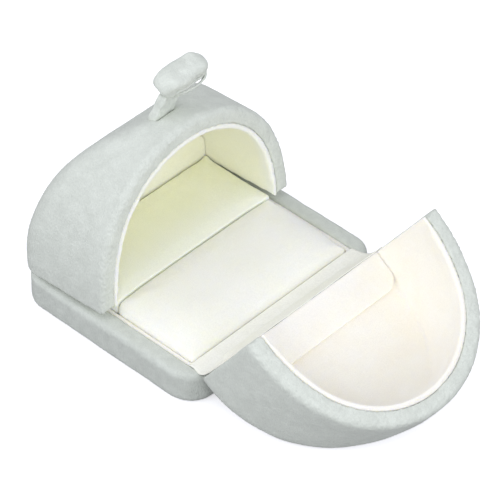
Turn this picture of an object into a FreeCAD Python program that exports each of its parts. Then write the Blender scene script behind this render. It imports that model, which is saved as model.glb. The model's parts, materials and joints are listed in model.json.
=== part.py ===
import FreeCAD, Part
import math
import os
import re
import Sketcher

# Velvet ring box with a split half-round lid.
# A shallow tray holds a two-part ring cushion. Two half domes are hinged to its front and back edges
# and meet over the middle of the tray. The back half carries a ribbon loop to pull it open by.
# Millimetres. Origin at the middle of the tray's underside, front at -Y, +Z up.
# Every lid piece is drawn closed and then swung to its place on its hinge.

SIZES = {
    # tray
    "tray_width": 62.0,
    "tray_depth": 55.0,
    "tray_height": 8.8,
    "tray_corner": 7.0,
    "tray_foot_round": 2.2,
    "tray_rim_round": 1.5,
    "velvet": 0.8,
    "side_wall": 2.8,
    "end_wall": 1.8,
    "tray_floor": 1.8,
    "rim_drop": 0.7,
    "rim_turn_in": 0.8,
    "rim_turn_depth": 4.0,
    "underside_turn": 6.0,
    # lining frame, cushions and rim cloth of the tray
    "frame_side": 1.2,
    "frame_end": 2.1,
    "felt_gap": 0.1,
    "cushion_card": 1.0,
    "cushion_gap": 0.25,
    "ring_slot": 0.6,
    "slot_back": 1.4,
    "cushion_proud": 2.8,
    "cushion_edge": 2.0,
    "slot_edge": 0.6,
    "rim_cloth": 0.3,
    "cloth_gap": 0.1,
    # half dome
    "lid_gap": 0.4,
    "rim_gap": 0.5,
    "lid_step": 0.6,
    "lid_rise": 34.8,
    "lid_side_radius": 44.0,
    "lid_spring": 1.2,
    "lid_overhang": 0.9,
    "profile_over": 0.7,
    "profile_radius": 45.0,
    "lid_corner": 6.0,
    "lid_velvet": 0.9,
    "lid_rim_round": 1.6,
    "lid_shell_side": 3.0,
    "lid_shell_end": 2.7,
    "lid_liner_side": 1.0,
    "lid_liner_end": 1.2,
    "cover_card": 1.0,
    "cover_height": 9.0,
    "cover_corner": 4.5,
    # hinge
    "axis_out": 0.6,
    "axis_up": 0.4,
    "knuckle_radius": 1.1,
    "knuckle_length": 7.0,
    "knuckle_gap": 0.3,
    "knuckle_room": 0.2,
    "pin_radius": 0.5,
    "pin_fit": 0.05,
    "leaf_steel": 0.4,
    "tray_leaf_drop": 4.8,
    "lid_leaf_reach": 6.0,
    "snap_steel": 0.3,
    "snap_width": 4.6,
    "snap_gap": 0.3,
    # ribbon loop
    "strap_back": 8.2,
    "strap_left": 0.5,
    "strap_lean": 1.7,
    "strap_nod": 1.6,
    "strap_width": 5.6,
    "strap_top_width": 5.0,
    "strap_ply": 2.4,
    "strap_rise": 5.4,
    "loop_length": 14.0,
    "loop_offset": 4.6,
    "loop_height": 5.0,
    "loop_width": 5.2,
    "loop_hole_length": 8.0,
    "loop_hole_height": 0.9,
    "loop_hole_drop": 0.8,
    "loop_round": 1.2,
    "slit_room": 0.2,
    "anchor_length": 9.6,
    "anchor_width": 4.0,
    "anchor_thick": 0.6,
    "anchor_room": 0.05,
    # lids as they stand
    "front_lid_angle": 125.4,
    "back_lid_angle": 4.0,
    # how far cutting tools run past what they cut
    "overrun": 1.0,
}

KNUCKLES = 5

doc = FreeCAD.newDocument("RingBox")
sheet = doc.addObject("Spreadsheet::Sheet", "Sizes")
for row, (alias, size) in enumerate(SIZES.items(), start=1):
    sheet.set("A%d" % row, alias)
    sheet.set("B%d" % row, "%g" % size)
    sheet.setAlias("B%d" % row, alias)
doc.recompute()

probe = doc.addObject("App::FeaturePython", "Probe")
probe.addProperty("App::PropertyFloat", "Result")
NAME = re.compile(r"[a-z_]+")


def sized(text):
    """An expression over the sheet's names."""
    return NAME.sub(lambda found: "Sizes." + found.group() if found.group() in SIZES else found.group(), text)


def value(text):
    """What such an expression comes to."""
    probe.setExpression("Result", sized(text))
    probe.recompute()
    return probe.Result


def bind(item, **expressions):
    """Ties properties of an object to the sheet; double underscores stand for dots."""
    for name, text in expressions.items():
        item.setExpression(name.replace("__", "."), sized(text))


# Levels and distances that several pieces share.
RIM = "tray_height"
FOOT = "(tray_height + lid_gap)"
SPRING = "(tray_height + lid_gap + lid_spring)"
AXIS_Y = "(tray_depth / 2 + axis_out)"
AXIS_Z = "(tray_height + axis_up)"
WALL_TOP = "(tray_height - rim_drop)"
FLOOR_TOP = "(velvet + tray_floor)"
INNER_X = "(tray_width / 2 - velvet - side_wall)"
INNER_Y = "(tray_depth / 2 - velvet - end_wall)"
FRAME_X = "(%s - rim_turn_in)" % INNER_X
FRAME_Y = "(%s - leaf_steel)" % INNER_Y
CUSHION_TOP = "(tray_height + cushion_proud)"
LID_HALF = "(tray_width / 2 - lid_step)"
LID_DEPTH = "(tray_depth / 2 + lid_overhang)"
LID_CROWN = "(%s + lid_rise)" % SPRING
BARREL = "(%d * knuckle_length + %d * knuckle_gap)" % (KNUCKLES, KNUCKLES - 1)


def box(name, left, right, front, back, low, high):
    """A box between six expressions."""
    item = doc.addObject("Part::Box", name)
    bind(item, Length="%s - (%s)" % (right, left), Width="%s - (%s)" % (back, front),
         Height="%s - (%s)" % (high, low))
    bind(item, Placement__Base__x=left, Placement__Base__y=front, Placement__Base__z=low)
    return item


def rod(name, radius, left, right, y, z):
    """A round bar along X between two expressions."""
    item = doc.addObject("Part::Cylinder", name)
    item.Placement.Rotation = FreeCAD.Rotation(FreeCAD.Vector(0, 1, 0), 90)
    bind(item, Radius=radius, Height="%s - (%s)" % (right, left))
    bind(item, Placement__Base__x=left, Placement__Base__y=y, Placement__Base__z=z)
    return item


def cut(name, base, tools):
    """The base less every tool."""
    for number, tool in enumerate(tools, start=1):
        step = doc.addObject("Part::Cut", "%s_cut%d" % (name, number))
        step.Base = base
        step.Tool = tool
        base = step
    doc.recompute()
    return base


def join(name, pieces):
    item = doc.addObject("Part::MultiFuse", name)
    item.Shapes = pieces
    item.Refine = True
    doc.recompute()
    return item


def common(name, first, second):
    item = doc.addObject("Part::Common", name)
    item.Base = first
    item.Tool = second
    doc.recompute()
    return item


def mirror(name, source):
    """The same piece at the back of the box."""
    item = doc.addObject("Part::Mirroring", name)
    item.Source = source
    item.Normal = FreeCAD.Vector(0, 1, 0)
    doc.recompute()
    return item


def placed_copy(name, source):
    """The piece again, free to be swung while its mirror image follows the piece as drawn."""
    item = doc.addObject("Part::Refine", name)
    item.Source = source
    doc.recompute()
    return item


def origin_plane(body, role):
    return [plane for plane in body.Origin.OriginFeatures if plane.Role == role][0]


def new_sketch(body, role, offset="0"):
    """A sketch on one of the body's own planes, moved along its normal."""
    sketch = body.newObject("Sketcher::SketchObject", body.Name + "_sketch")
    sketch.AttachmentSupport = (origin_plane(body, role), [""])
    sketch.MapMode = "FlatFace"
    sketch.setExpression("AttachmentOffset.Base.z", sized(offset))
    return sketch


def measure(sketch, kind, places, text):
    """A driving constraint tied to the sheet."""
    index = sketch.addConstraint(Sketcher.Constraint(kind, *places, value(text)))
    sketch.renameConstraint(index, "size%d" % index)
    sketch.setExpression("Constraints.size%d" % index, sized(text))


def point(x, y):
    return FreeCAD.Vector(x, y, 0)


def centred_rectangle(sketch, width, depth):
    """A rectangle about the sketch's origin."""
    x, y = value(width) / 2, value(depth) / 2
    corners = [point(-x, -y), point(x, -y), point(x, y), point(-x, y)]
    for number in range(4):
        sketch.addGeometry(Part.LineSegment(corners[number], corners[(number + 1) % 4]), False)
    for number in range(4):
        sketch.addConstraint(Sketcher.Constraint("Coincident", number, 2, (number + 1) % 4, 1))
    for number, kind in enumerate(["Horizontal", "Vertical", "Horizontal", "Vertical"]):
        sketch.addConstraint(Sketcher.Constraint(kind, number))
    sketch.addConstraint(Sketcher.Constraint("Symmetric", 0, 1, 1, 2, -1, 1))
    measure(sketch, "DistanceX", (0, 1, 0, 2), width)
    measure(sketch, "DistanceY", (1, 1, 1, 2), depth)


def pad(body, sketch, length, midplane=False):
    item = body.newObject("PartDesign::Pad", body.Name + "_pad")
    item.Profile = sketch
    item.Midplane = midplane
    bind(item, Length=length)
    doc.recompute()
    return item


def is_upright(edge):
    start, end = edge.Vertexes[0].Point, edge.Vertexes[-1].Point
    return math.hypot(end.x - start.x, end.y - start.y) < 1e-4 < abs(end.z - start.z)


def is_level(edge, height):
    return all(abs(vertex.Z - height) < 1e-4 for vertex in edge.Vertexes)


def round_edges(body, base, radius, test):
    """Fillets the edges of a body that pass a test."""
    names = ["Edge%d" % (number + 1) for number, edge in enumerate(base.Shape.Edges) if test(edge)]
    item = body.newObject("PartDesign::Fillet", body.Name + "_fillet")
    item.Base = (base, names)
    bind(item, Radius=radius)
    doc.recompute()
    return item


def rounded_block(name, width, depth, low, high, corner, foot_round=None, rim_round=None):
    """An upright block, rounded in plan, with its bottom and top edges rounded if asked."""
    body = doc.addObject("PartDesign::Body", name)
    sketch = new_sketch(body, "XY_Plane", low)
    centred_rectangle(sketch, width, depth)
    tip = pad(body, sketch, "%s - (%s)" % (high, low))
    tip = round_edges(body, tip, corner, is_upright)
    for radius, level in ((foot_round, low), (rim_round, high)):
        if radius:
            height = value(level)
            tip = round_edges(body, tip, radius, lambda edge: is_level(edge, height))
    return body


def top_radius(half, rise, side):
    """Radius of the crown arc of an arch whose side arcs end upright."""
    return "((%s)^2 - (%s - (%s))^2 - (%s)^2) / (2 * (%s - (%s)))" % (side, side, half, rise, side, rise)


def arch(sketch, half, rise, side, spring, foot):
    """A closed arch: upright feet, two side arcs and a crown arc, all tangent."""
    a, r, s, z, f = value(half), value(rise), value(side), value(spring), value(foot)
    crown = value(top_radius(half, rise, side))
    side_x, crown_z = s - a, z + r - crown
    turn = math.atan2(crown_z - z, side_x)
    up = point(0, 0) + FreeCAD.Vector(0, 0, 1)
    circle_right = Part.Circle(point(-side_x, z), up, s)
    circle_crown = Part.Circle(point(0, crown_z), up, crown)
    circle_left = Part.Circle(point(side_x, z), up, s)
    sketch.addGeometry(Part.LineSegment(point(-a, f), point(a, f)), False)
    sketch.addGeometry(Part.LineSegment(point(a, f), point(a, z)), False)
    sketch.addGeometry(Part.ArcOfCircle(circle_right, 0, turn), False)
    sketch.addGeometry(Part.ArcOfCircle(circle_crown, turn, math.pi - turn), False)
    sketch.addGeometry(Part.ArcOfCircle(circle_left, math.pi - turn, math.pi), False)
    sketch.addGeometry(Part.LineSegment(point(-a, z), point(-a, f)), False)
    for first, last in ((1, 2), (2, 3), (3, 4)):
        sketch.addConstraint(Sketcher.Constraint("Tangent", first, 2, last, 1))
    sketch.addConstraint(Sketcher.Constraint("Tangent", 4, 2, 5, 1))
    sketch.addConstraint(Sketcher.Constraint("Coincident", 5, 2, 0, 1))
    sketch.addConstraint(Sketcher.Constraint("Coincident", 0, 2, 1, 1))
    sketch.addConstraint(Sketcher.Constraint("Vertical", 1))
    sketch.addConstraint(Sketcher.Constraint("Vertical", 5))
    sketch.addConstraint(Sketcher.Constraint("Symmetric", 0, 1, 0, 2, -2))
    sketch.addConstraint(Sketcher.Constraint("Horizontal", 1, 2, 5, 1))
    sketch.addConstraint(Sketcher.Constraint("Equal", 2, 4))
    measure(sketch, "DistanceX", (0, 1, 0, 2), "2 * (%s)" % half)
    measure(sketch, "DistanceY", (-1, 1, 0, 1), foot)
    measure(sketch, "DistanceY", (-1, 1, 1, 2), spring)
    measure(sketch, "Radius", (2,), side)
    measure(sketch, "Radius", (3,), top_radius(half, rise, side))


def lies_along(face, axis):
    """Whether a face is swept along an axis: a flat or a cylinder that holds that direction."""
    surface = face.Surface
    if isinstance(surface, Part.Cylinder):
        return abs(abs(surface.Axis.dot(axis)) - 1) < 1e-6
    if isinstance(surface, Part.Plane):
        return abs(surface.Axis.dot(axis)) < 1e-6 and abs(surface.Axis.z) < 1e-6
    return False


def half_dome(name, side, end, back, lift, rim_round=None):
    """The front half dome, solid: arch and side profile crossed, its corner rounded.

    side and end are how far it lies inside the lid's outer skin, back is the distance to the
    middle of the box and lift the height of its foot above the skin's foot.
    """
    foot = "%s + (%s)" % (FOOT, lift)
    barrel = doc.addObject("PartDesign::Body", name + "_arch")
    sketch = new_sketch(barrel, "XZ_Plane", back)
    arch(sketch, "%s - (%s)" % (LID_HALF, side), "lid_rise - (%s)" % side,
         "lid_side_radius - (%s)" % side, SPRING, foot)
    pad(barrel, sketch, LID_DEPTH)
    profile = doc.addObject("PartDesign::Body", name + "_profile")
    sketch = new_sketch(profile, "YZ_Plane")
    arch(sketch, "%s - (%s)" % (LID_DEPTH, end), "lid_rise + profile_over - (%s)" % side,
         "profile_radius - (%s)" % end, SPRING, foot)
    pad(profile, sketch, "2 * %s + overrun" % LID_HALF, midplane=True)
    solid = common(name + "_cross", barrel, profile)
    across, along = FreeCAD.Vector(1, 0, 0), FreeCAD.Vector(0, 1, 0)
    corner, rim = value("lid_corner - (%s)" % side), value(rim_round) if rim_round else 0
    rim_y = -value(back)
    radii = []
    for number, edge in enumerate(solid.Shape.Edges, start=1):
        faces = solid.Shape.ancestorsOfType(edge, Part.Face)
        on_rim = all(abs(v.Y - rim_y) < 1e-4 for v in edge.Vertexes)
        on_arch = any(lies_along(face, along) for face in faces)
        if on_rim and on_arch and rim:
            radii.append((number, rim, rim))
        elif not on_rim and on_arch and any(lies_along(face, across) for face in faces):
            radii.append((number, corner, corner))
    rounded = doc.addObject("Part::Fillet", name)
    rounded.Base = solid
    rounded.Edges = radii
    doc.recompute()
    return rounded


def finish(item, name, placement=None):
    """Names a sub-part and swings it to where it stands."""
    item.Label = name
    if placement:
        item.Placement = placement.multiply(item.Placement)
    subparts.append(item)
    return item


def swing(side, degrees):
    """Turns a lid piece about its hinge; side is -1 at the front and 1 at the back."""
    centre = FreeCAD.Vector(0, side * value(AXIS_Y), value(AXIS_Z))
    turn = FreeCAD.Rotation(FreeCAD.Vector(1, 0, 0), degrees)
    return FreeCAD.Placement(FreeCAD.Vector(0, 0, 0), turn, centre)


subparts = []
front_swing = swing(-1, value("front_lid_angle"))
back_swing = swing(1, -value("back_lid_angle"))


# Knuckles along the hinge: the odd ones belong to the tray leaf, the even ones to the lid leaf.
def knuckle_ends(number):
    start = "(%d * (knuckle_length + knuckle_gap) - %s / 2)" % (number, BARREL)
    return start, "(%s + knuckle_length)" % start


TRAY_KNUCKLES = range(0, KNUCKLES, 2)
LID_KNUCKLES = range(1, KNUCKLES, 2)
HALF_BARREL = "(%s / 2)" % BARREL


def barrel_room(name):
    """The groove that the hinge barrel turns in."""
    return rod(name, "knuckle_radius + knuckle_room", "-%s - knuckle_gap" % HALF_BARREL,
               "%s + knuckle_gap" % HALF_BARREL, "-%s" % AXIS_Y, AXIS_Z)


def tray_pieces():
    """The tray, its velvet wrap and what lies in it."""
    outer_x = "tray_width - 2 * velvet"
    outer_y = "tray_depth - 2 * velvet"
    block = rounded_block("shell_block", outer_x, outer_y, "velvet", WALL_TOP, "tray_corner - velvet",
                          "tray_foot_round - velvet")
    hollow = box("shell_hollow", "-%s" % INNER_X, INNER_X, "-%s" % INNER_Y, INNER_Y, FLOOR_TOP, RIM)
    finish(cut("tray_shell_solid", block, [hollow]), "tray_shell")

    wrap = rounded_block("wrap_block", "tray_width", "tray_depth", "0", RIM, "tray_corner",
                         "tray_foot_round", "tray_rim_round")
    core = rounded_block("wrap_core", outer_x, outer_y, "velvet", WALL_TOP, "tray_corner - velvet",
                         "tray_foot_round - velvet")
    mouth = box("wrap_mouth", "-%s" % FRAME_X, FRAME_X, "velvet - tray_depth / 2",
                "tray_depth / 2 - velvet", "%s - velvet" % WALL_TOP, "%s + overrun" % RIM)
    window = rounded_block("wrap_window", "tray_width - 2 * underside_turn",
                           "tray_depth - 2 * underside_turn", "-overrun", "velvet + overrun / 2",
                           "tray_corner - velvet")
    front_groove = barrel_room("front_groove")
    tools = [front_groove]
    for number in TRAY_KNUCKLES:
        start, end = knuckle_ends(number)
        tools.append(box("tray_web_room%d" % number, start, end, "-tray_depth / 2 - overrun", "0",
                         "%s - knuckle_radius" % AXIS_Z, "%s + overrun" % RIM))
    tools += [mirror(tool.Name + "_back", tool) for tool in tools]
    skin = cut("wrap_skin", wrap, [core, mouth, window] + tools)
    turns = []
    for side, left, right in (("left", "-%s" % INNER_X, "-%s" % FRAME_X), ("right", FRAME_X, INNER_X)):
        turns.append(box("turn_" + side, left, right, "-%s" % FRAME_Y, FRAME_Y,
                         "%s - rim_turn_depth" % WALL_TOP, "%s + rim_drop / 2" % WALL_TOP))
    finish(join("tray_velvet_solid", [skin] + turns), "tray_velvet")

    felt = rounded_block("felt_block", "tray_width - 2 * underside_turn - 2 * felt_gap",
                         "tray_depth - 2 * underside_turn - 2 * felt_gap", "0", "velvet",
                         "tray_corner - velvet - felt_gap")
    finish(felt, "base_felt")

    # The lining frame stands on the floor; its end walls carry the rim cloth.
    frame_top = "(%s - rim_cloth - cloth_gap)" % RIM
    frame = box("frame_block", "-%s" % FRAME_X, FRAME_X, "-%s" % FRAME_Y, FRAME_Y, FLOOR_TOP, frame_top)
    bay = box("frame_bay", "frame_side - %s" % FRAME_X, "%s - frame_side" % FRAME_X,
              "frame_end - %s" % FRAME_Y, "%s - frame_end" % FRAME_Y, FLOOR_TOP, RIM)
    finish(cut("tray_lining_solid", frame, [bay]), "tray_lining")

    bay_x = "(%s - frame_side - cushion_gap)" % FRAME_X
    bay_y = "(%s - frame_end - cushion_gap)" % FRAME_Y
    card_top = "(%s + cushion_card)" % FLOOR_TOP
    finish(box("card_block", "-%s" % bay_x, bay_x, "-%s" % bay_y, bay_y, FLOOR_TOP, card_top), "cushion_card")

    # Two foam halves, parted by the slot that grips the ring.
    for name, side in (("front_cushion", -1), ("back_cushion", 1)):
        body = doc.addObject("PartDesign::Body", name + "_foam")
        sketch = new_sketch(body, "XY_Plane", card_top)
        depth = "(%s - ring_slot / 2 - (%d) * slot_back)" % (bay_y, side)
        centred_rectangle(sketch, "2 * %s" % bay_x, depth)
        tip = pad(body, sketch, "%s - %s" % (CUSHION_TOP, card_top))
        top, slot_side = value(CUSHION_TOP), -side * value("%s / 2" % depth)
        tip = round_edges(body, tip, "cushion_edge", lambda edge: is_level(edge, top) and
                          not all(abs(v.Y - slot_side) < 1e-4 for v in edge.Vertexes))
        round_edges(body, tip, "slot_edge", lambda edge: is_level(edge, top) and
                    all(abs(v.Y - slot_side) < 1e-4 for v in edge.Vertexes))
        bind(body, Placement__Base__y="slot_back + (%d) * (ring_slot / 2 + %s / 2)" % (side, depth))
        doc.recompute()
        finish(body, name)

    # Rim cloth over each end wall, from the cushion to the outer edge.
    cloth_front = "velvet - tray_depth / 2"
    cloth = box("rim_cloth_block", "-%s" % FRAME_X, FRAME_X, cloth_front, "-%s - cushion_gap / 2" % bay_y,
                "%s - rim_cloth" % RIM, RIM)
    front_cloth = cut("rim_cloth_solid", cloth, [front_groove])
    back_cloth = mirror("back_rim_cloth_solid", front_cloth)
    finish(front_cloth, "front_rim_cloth")
    finish(back_cloth, "back_rim_cloth")


def knuckle_set(name, numbers):
    """Solid knuckles of one leaf, before the pin's bore."""
    rods = []
    for number in numbers:
        start, end = knuckle_ends(number)
        rods.append(rod("%s_knuckle%d" % (name, number), "knuckle_radius", start, end,
                        "-%s" % AXIS_Y, AXIS_Z))
    return rods


def hinge_pieces():
    """Both spring hinges: two leaves, the pin and the snap tongues. The back one mirrors the front."""
    bore = rod("hinge_bore", "pin_radius + pin_fit", "-%s - overrun" % HALF_BARREL,
               "%s + overrun" % HALF_BARREL, "-%s" % AXIS_Y, AXIS_Z)
    web_low = "(%s - knuckle_radius)" % AXIS_Z
    parts = knuckle_set("tray_leaf", TRAY_KNUCKLES)
    for number in TRAY_KNUCKLES:
        start, end = knuckle_ends(number)
        parts.append(box("tray_web%d" % number, start, end, "-%s" % AXIS_Y, "-%s" % FRAME_Y,
                         web_low, "%s + leaf_steel" % web_low))
    parts.append(box("tray_leg", "-%s" % HALF_BARREL, HALF_BARREL, "-%s" % INNER_Y, "-%s" % FRAME_Y,
                     "%s - tray_leaf_drop" % web_low, "%s + leaf_steel" % web_low))
    tray_leaf = cut("tray_leaf_solid", join("tray_leaf_blank", parts), [bore])

    web_high = "(%s + knuckle_radius)" % AXIS_Z
    inner = "(%s - lid_velvet - lid_shell_end - lid_liner_end)" % LID_DEPTH
    parts = knuckle_set("lid_leaf", LID_KNUCKLES)
    for number in LID_KNUCKLES:
        start, end = knuckle_ends(number)
        parts.append(box("lid_web%d" % number, start, end, "-%s" % AXIS_Y, "leaf_steel - %s" % inner,
                         "%s - leaf_steel" % web_high, web_high))
    parts.append(box("lid_leg", "-%s" % HALF_BARREL, HALF_BARREL, "-%s" % inner, "leaf_steel - %s" % inner,
                     "%s - leaf_steel" % web_high, "%s + lid_leaf_reach" % web_high))
    lid_leaf = cut("lid_leaf_solid", join("lid_leaf_blank", parts), [bore])

    pin = rod("hinge_pin_rod", "pin_radius", "-%s" % HALF_BARREL, HALF_BARREL, "-%s" % AXIS_Y, AXIS_Z)
    tongues = []
    for number in LID_KNUCKLES:
        start, end = knuckle_ends(number)
        middle = "((%s + %s) / 2)" % (start, end)
        tongues.append(box("tongue%d" % number, "%s - snap_width / 2" % middle,
                           "%s + snap_width / 2" % middle, "-%s + knuckle_radius + snap_gap" % AXIS_Y,
                           "-%s" % INNER_Y, WALL_TOP, "%s + snap_steel" % WALL_TOP))
    snap = join("snap_solid", tongues)

    front = {"hinge_tray_leaf": tray_leaf, "hinge_pin": pin, "hinge_snap_spring": snap}
    for name, item in front.items():
        finish(mirror("back_" + name + "_solid", item), "back_" + name)
    for name, item in front.items():
        finish(item, "front_" + name)
    back_leaf = mirror("back_lid_leaf_solid", lid_leaf)
    return lid_leaf, back_leaf


def lid_pieces(lid_leaf, back_leaf):
    """Both half domes, skin by skin: velvet, moulded shell, lining and the card over the hinge leaf."""
    rim = "(rim_gap / 2)"
    skin = half_dome("dome_skin", "0", "0", rim, "0", "lid_rim_round")
    shell_out = half_dome("dome_shell", "lid_velvet", "lid_velvet", "%s + lid_velvet" % rim, "lid_velvet")
    side = "(lid_velvet + lid_shell_side)"
    end = "(lid_velvet + lid_shell_end)"
    lining_out = half_dome("dome_lining", side, end, rim, "0")
    side = "(%s + lid_liner_side)" % side
    end = "(%s + lid_liner_end)" % end
    cavity = half_dome("dome_cavity", side, end, "0", "-overrun")
    cover_in = half_dome("dome_cover", "(%s - lid_liner_side)" % side, "(%s + cover_card)" % end, "0",
                         "-overrun")

    web_room = []
    for number in LID_KNUCKLES:
        start, knuckle_end = knuckle_ends(number)
        web_room.append(box("web_room%d" % number, start, knuckle_end, "-%s - overrun" % LID_DEPTH,
                            "leaf_steel - (%s - %s)" % (LID_DEPTH, end), "%s - overrun" % FOOT,
                            "%s + knuckle_radius" % AXIS_Z))
    leg_room = box("leg_room", "-%s" % HALF_BARREL, HALF_BARREL, "%s - %s" % (end, LID_DEPTH),
                   "%s + leaf_steel - %s" % (end, LID_DEPTH), "%s + knuckle_radius - leaf_steel" % AXIS_Z,
                   "%s + knuckle_radius + lid_leaf_reach" % AXIS_Z)
    groove = barrel_room("lid_groove")
    first, last = knuckle_ends(LID_KNUCKLES[0])[0], knuckle_ends(LID_KNUCKLES[-1])[1]
    fold_room = box("fold_room", first, last, "-%s - overrun" % LID_DEPTH, "%s - %s" % (end, LID_DEPTH),
                    "%s - overrun" % FOOT, "%s + lid_velvet" % FOOT)

    velvet = cut("lid_velvet_solid", skin, [shell_out, lining_out, groove, fold_room] + web_room)
    shell = cut("lid_shell_solid", shell_out, [lining_out, groove] + web_room)
    lining = cut("lid_lining_blank", lining_out, [cavity])

    # The lining is a bent strip along the arch and a flat-backed panel behind it.
    bore = doc.addObject("PartDesign::Body", "lining_split")
    sketch = new_sketch(bore, "XZ_Plane")
    arch(sketch, "%s - %s" % (LID_HALF, side), "lid_rise - %s" % side, "lid_side_radius - %s" % side,
         SPRING, "%s - overrun" % FOOT)
    pad(bore, sketch, LID_DEPTH)
    strip = cut("lid_arch_lining_solid", lining, [bore])
    panel = cut("lid_panel_lining_solid", common("lid_panel_blank", lining, bore), [leg_room] + web_room)

    gate = doc.addObject("PartDesign::Body", "cover_gate")
    sketch = new_sketch(gate, "XZ_Plane")
    centred_rectangle(sketch, "2 * (%s - %s)" % (LID_HALF, side), "2 * cover_height")
    tip = pad(gate, sketch, LID_DEPTH)
    top = value("cover_height")
    round_edges(gate, tip, "cover_corner", lambda edge: is_level(edge, top) and
                abs(edge.Vertexes[0].X - edge.Vertexes[-1].X) < 1e-4)
    gate.Placement.Base.z = value(FOOT)
    low = box("cover_low", "-%s" % LID_HALF, LID_HALF, "-%s" % LID_DEPTH, "0", "0", FOOT)
    card = cut("cover_blank", common("cover_part", cavity, gate), [cover_in, low, leg_room] + web_room)

    front = {"lid_velvet": velvet, "lid_shell": shell, "lid_arch_lining": strip, "lid_panel_lining": panel,
             "hinge_cover": card}
    back = {name: mirror("back_%s_mirror" % name, item) for name, item in front.items()}
    for name, item in front.items():
        finish(placed_copy("front_%s_copy" % name, item), "front_" + name, front_swing)
    finish(placed_copy("front_leaf_copy", lid_leaf), "front_hinge_lid_leaf", front_swing)

    # The ribbon's slit goes through the velvet and the shell of the back half only.
    anchor_low = "(%s - lid_velvet - lid_shell_side + anchor_room)" % LID_CROWN
    slit = box("strap_slit", "-strap_left - strap_width / 2 - slit_room",
               "strap_width / 2 + slit_room - strap_left",
               "strap_back - strap_ply / 2 - slit_room", "strap_back + strap_ply / 2 + slit_room",
               anchor_low, "%s + overrun" % LID_CROWN)
    pocket = box("anchor_pocket", "-strap_left - anchor_length / 2 - slit_room",
                 "anchor_length / 2 + slit_room - strap_left",
                 "strap_back - anchor_width / 2 - slit_room", "strap_back + anchor_width / 2 + slit_room",
                 "%s - overrun" % anchor_low, "%s + anchor_thick + anchor_room" % anchor_low)
    back["lid_velvet"] = cut("back_velvet_slit", back["lid_velvet"], [slit])
    back["lid_shell"] = cut("back_shell_slit", back["lid_shell"], [slit, pocket])
    for name, item in back.items():
        finish(item, "back_" + name, back_swing)
    finish(back_leaf, "back_hinge_lid_leaf", back_swing)
    strap_pieces(anchor_low)


def strap_pieces(anchor_low):
    """The ribbon loop on the back half: anchor bar, neck and loop."""
    bar = box("anchor_bar", "-strap_left - anchor_length / 2", "anchor_length / 2 - strap_left",
              "strap_back - anchor_width / 2", "strap_back + anchor_width / 2",
              anchor_low, "%s + anchor_thick" % anchor_low)
    finish(placed_copy("strap_anchor_copy", bar), "strap_anchor", back_swing)

    neck_low = "(%s + anchor_thick)" % anchor_low
    neck_top = "(%s + strap_rise)" % LID_CROWN
    stem = box("neck_stem", "-strap_left - strap_width / 2", "strap_width / 2 - strap_left",
               "strap_back - strap_ply / 2", "strap_back + strap_ply / 2", neck_low, LID_CROWN)
    lean = doc.addObject("PartDesign::Body", "neck_lean")
    lower = new_sketch(lean, "XY_Plane", LID_CROWN)
    centred_rectangle(lower, "strap_width", "strap_ply")
    upper = new_sketch(lean, "XY_Plane", neck_top)
    bind(upper, AttachmentOffset__Base__x="strap_lean", AttachmentOffset__Base__y="-strap_nod")
    centred_rectangle(upper, "strap_top_width", "strap_ply")
    loft = lean.newObject("PartDesign::AdditiveLoft", "lean_loft")
    loft.Profile = lower
    loft.Sections = [upper]
    bind(lean, Placement__Base__x="-strap_left", Placement__Base__y="strap_back")
    doc.recompute()
    finish(placed_copy("strap_neck_copy", join("strap_neck_solid", [stem, lean])), "strap_neck", back_swing)

    loop = doc.addObject("PartDesign::Body", "strap_loop_ribbon")
    sketch = new_sketch(loop, "XZ_Plane")
    stadium(sketch, "loop_length", "loop_height")
    tip = pad(loop, sketch, "loop_width", midplane=True)
    ends = value("loop_width / 2")
    tip = round_edges(loop, tip, "loop_round",
                      lambda edge: all(abs(abs(v.Y) - ends) < 1e-4 for v in edge.Vertexes))
    hole = new_sketch(loop, "XZ_Plane")
    bind(hole, AttachmentOffset__Base__y="-loop_hole_drop")
    stadium(hole, "loop_hole_length", "loop_hole_height")
    pocket = loop.newObject("PartDesign::Pocket", "loop_hole")
    pocket.Profile = hole
    pocket.Midplane = True
    pocket.Type = "Length"
    bind(pocket, Length="loop_width + overrun")
    doc.recompute()
    loop.Placement.Base = FreeCAD.Vector(value("loop_offset"), value("strap_back - strap_nod"),
                                         value("%s + loop_height / 2" % neck_top))
    doc.recompute()
    finish(loop, "strap_loop", back_swing)


def stadium(sketch, length, height):
    """A slot shape about the sketch's origin, long side along its x."""
    radius, reach = value(height) / 2, value("(%s - %s) / 2" % (length, height))
    up = FreeCAD.Vector(0, 0, 1)
    sketch.addGeometry(Part.LineSegment(point(-reach, -radius), point(reach, -radius)), False)
    right_end, left_end = (Part.Circle(point(x, 0), up, radius) for x in (reach, -reach))
    sketch.addGeometry(Part.ArcOfCircle(right_end, -math.pi / 2, math.pi / 2), False)
    sketch.addGeometry(Part.LineSegment(point(reach, radius), point(-reach, radius)), False)
    sketch.addGeometry(Part.ArcOfCircle(left_end, math.pi / 2, 3 * math.pi / 2), False)
    for first, last in ((0, 1), (1, 2), (2, 3), (3, 0)):
        sketch.addConstraint(Sketcher.Constraint("Tangent", first, 2, last, 1))
    sketch.addConstraint(Sketcher.Constraint("Horizontal", 0))
    sketch.addConstraint(Sketcher.Constraint("Symmetric", 1, 3, 3, 3, -1, 1))
    measure(sketch, "DistanceX", (3, 3, 1, 3), "%s - %s" % (length, height))
    measure(sketch, "Radius", (1,), "(%s) / 2" % height)


tray_pieces()
lid_leaves = hinge_pieces()
lid_pieces(*lid_leaves)
doc.recompute()

for item in doc.Objects:
    broken = [state for state in item.State if state in ("Invalid", "Error")]
    if broken:
        raise RuntimeError("%s is %s" % (item.Name, broken))
for item in subparts:
    if item.Shape.isNull() or not item.Shape.isValid() or not item.Shape.Solids:
        raise RuntimeError("%s has no valid solid" % item.Label)

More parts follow.
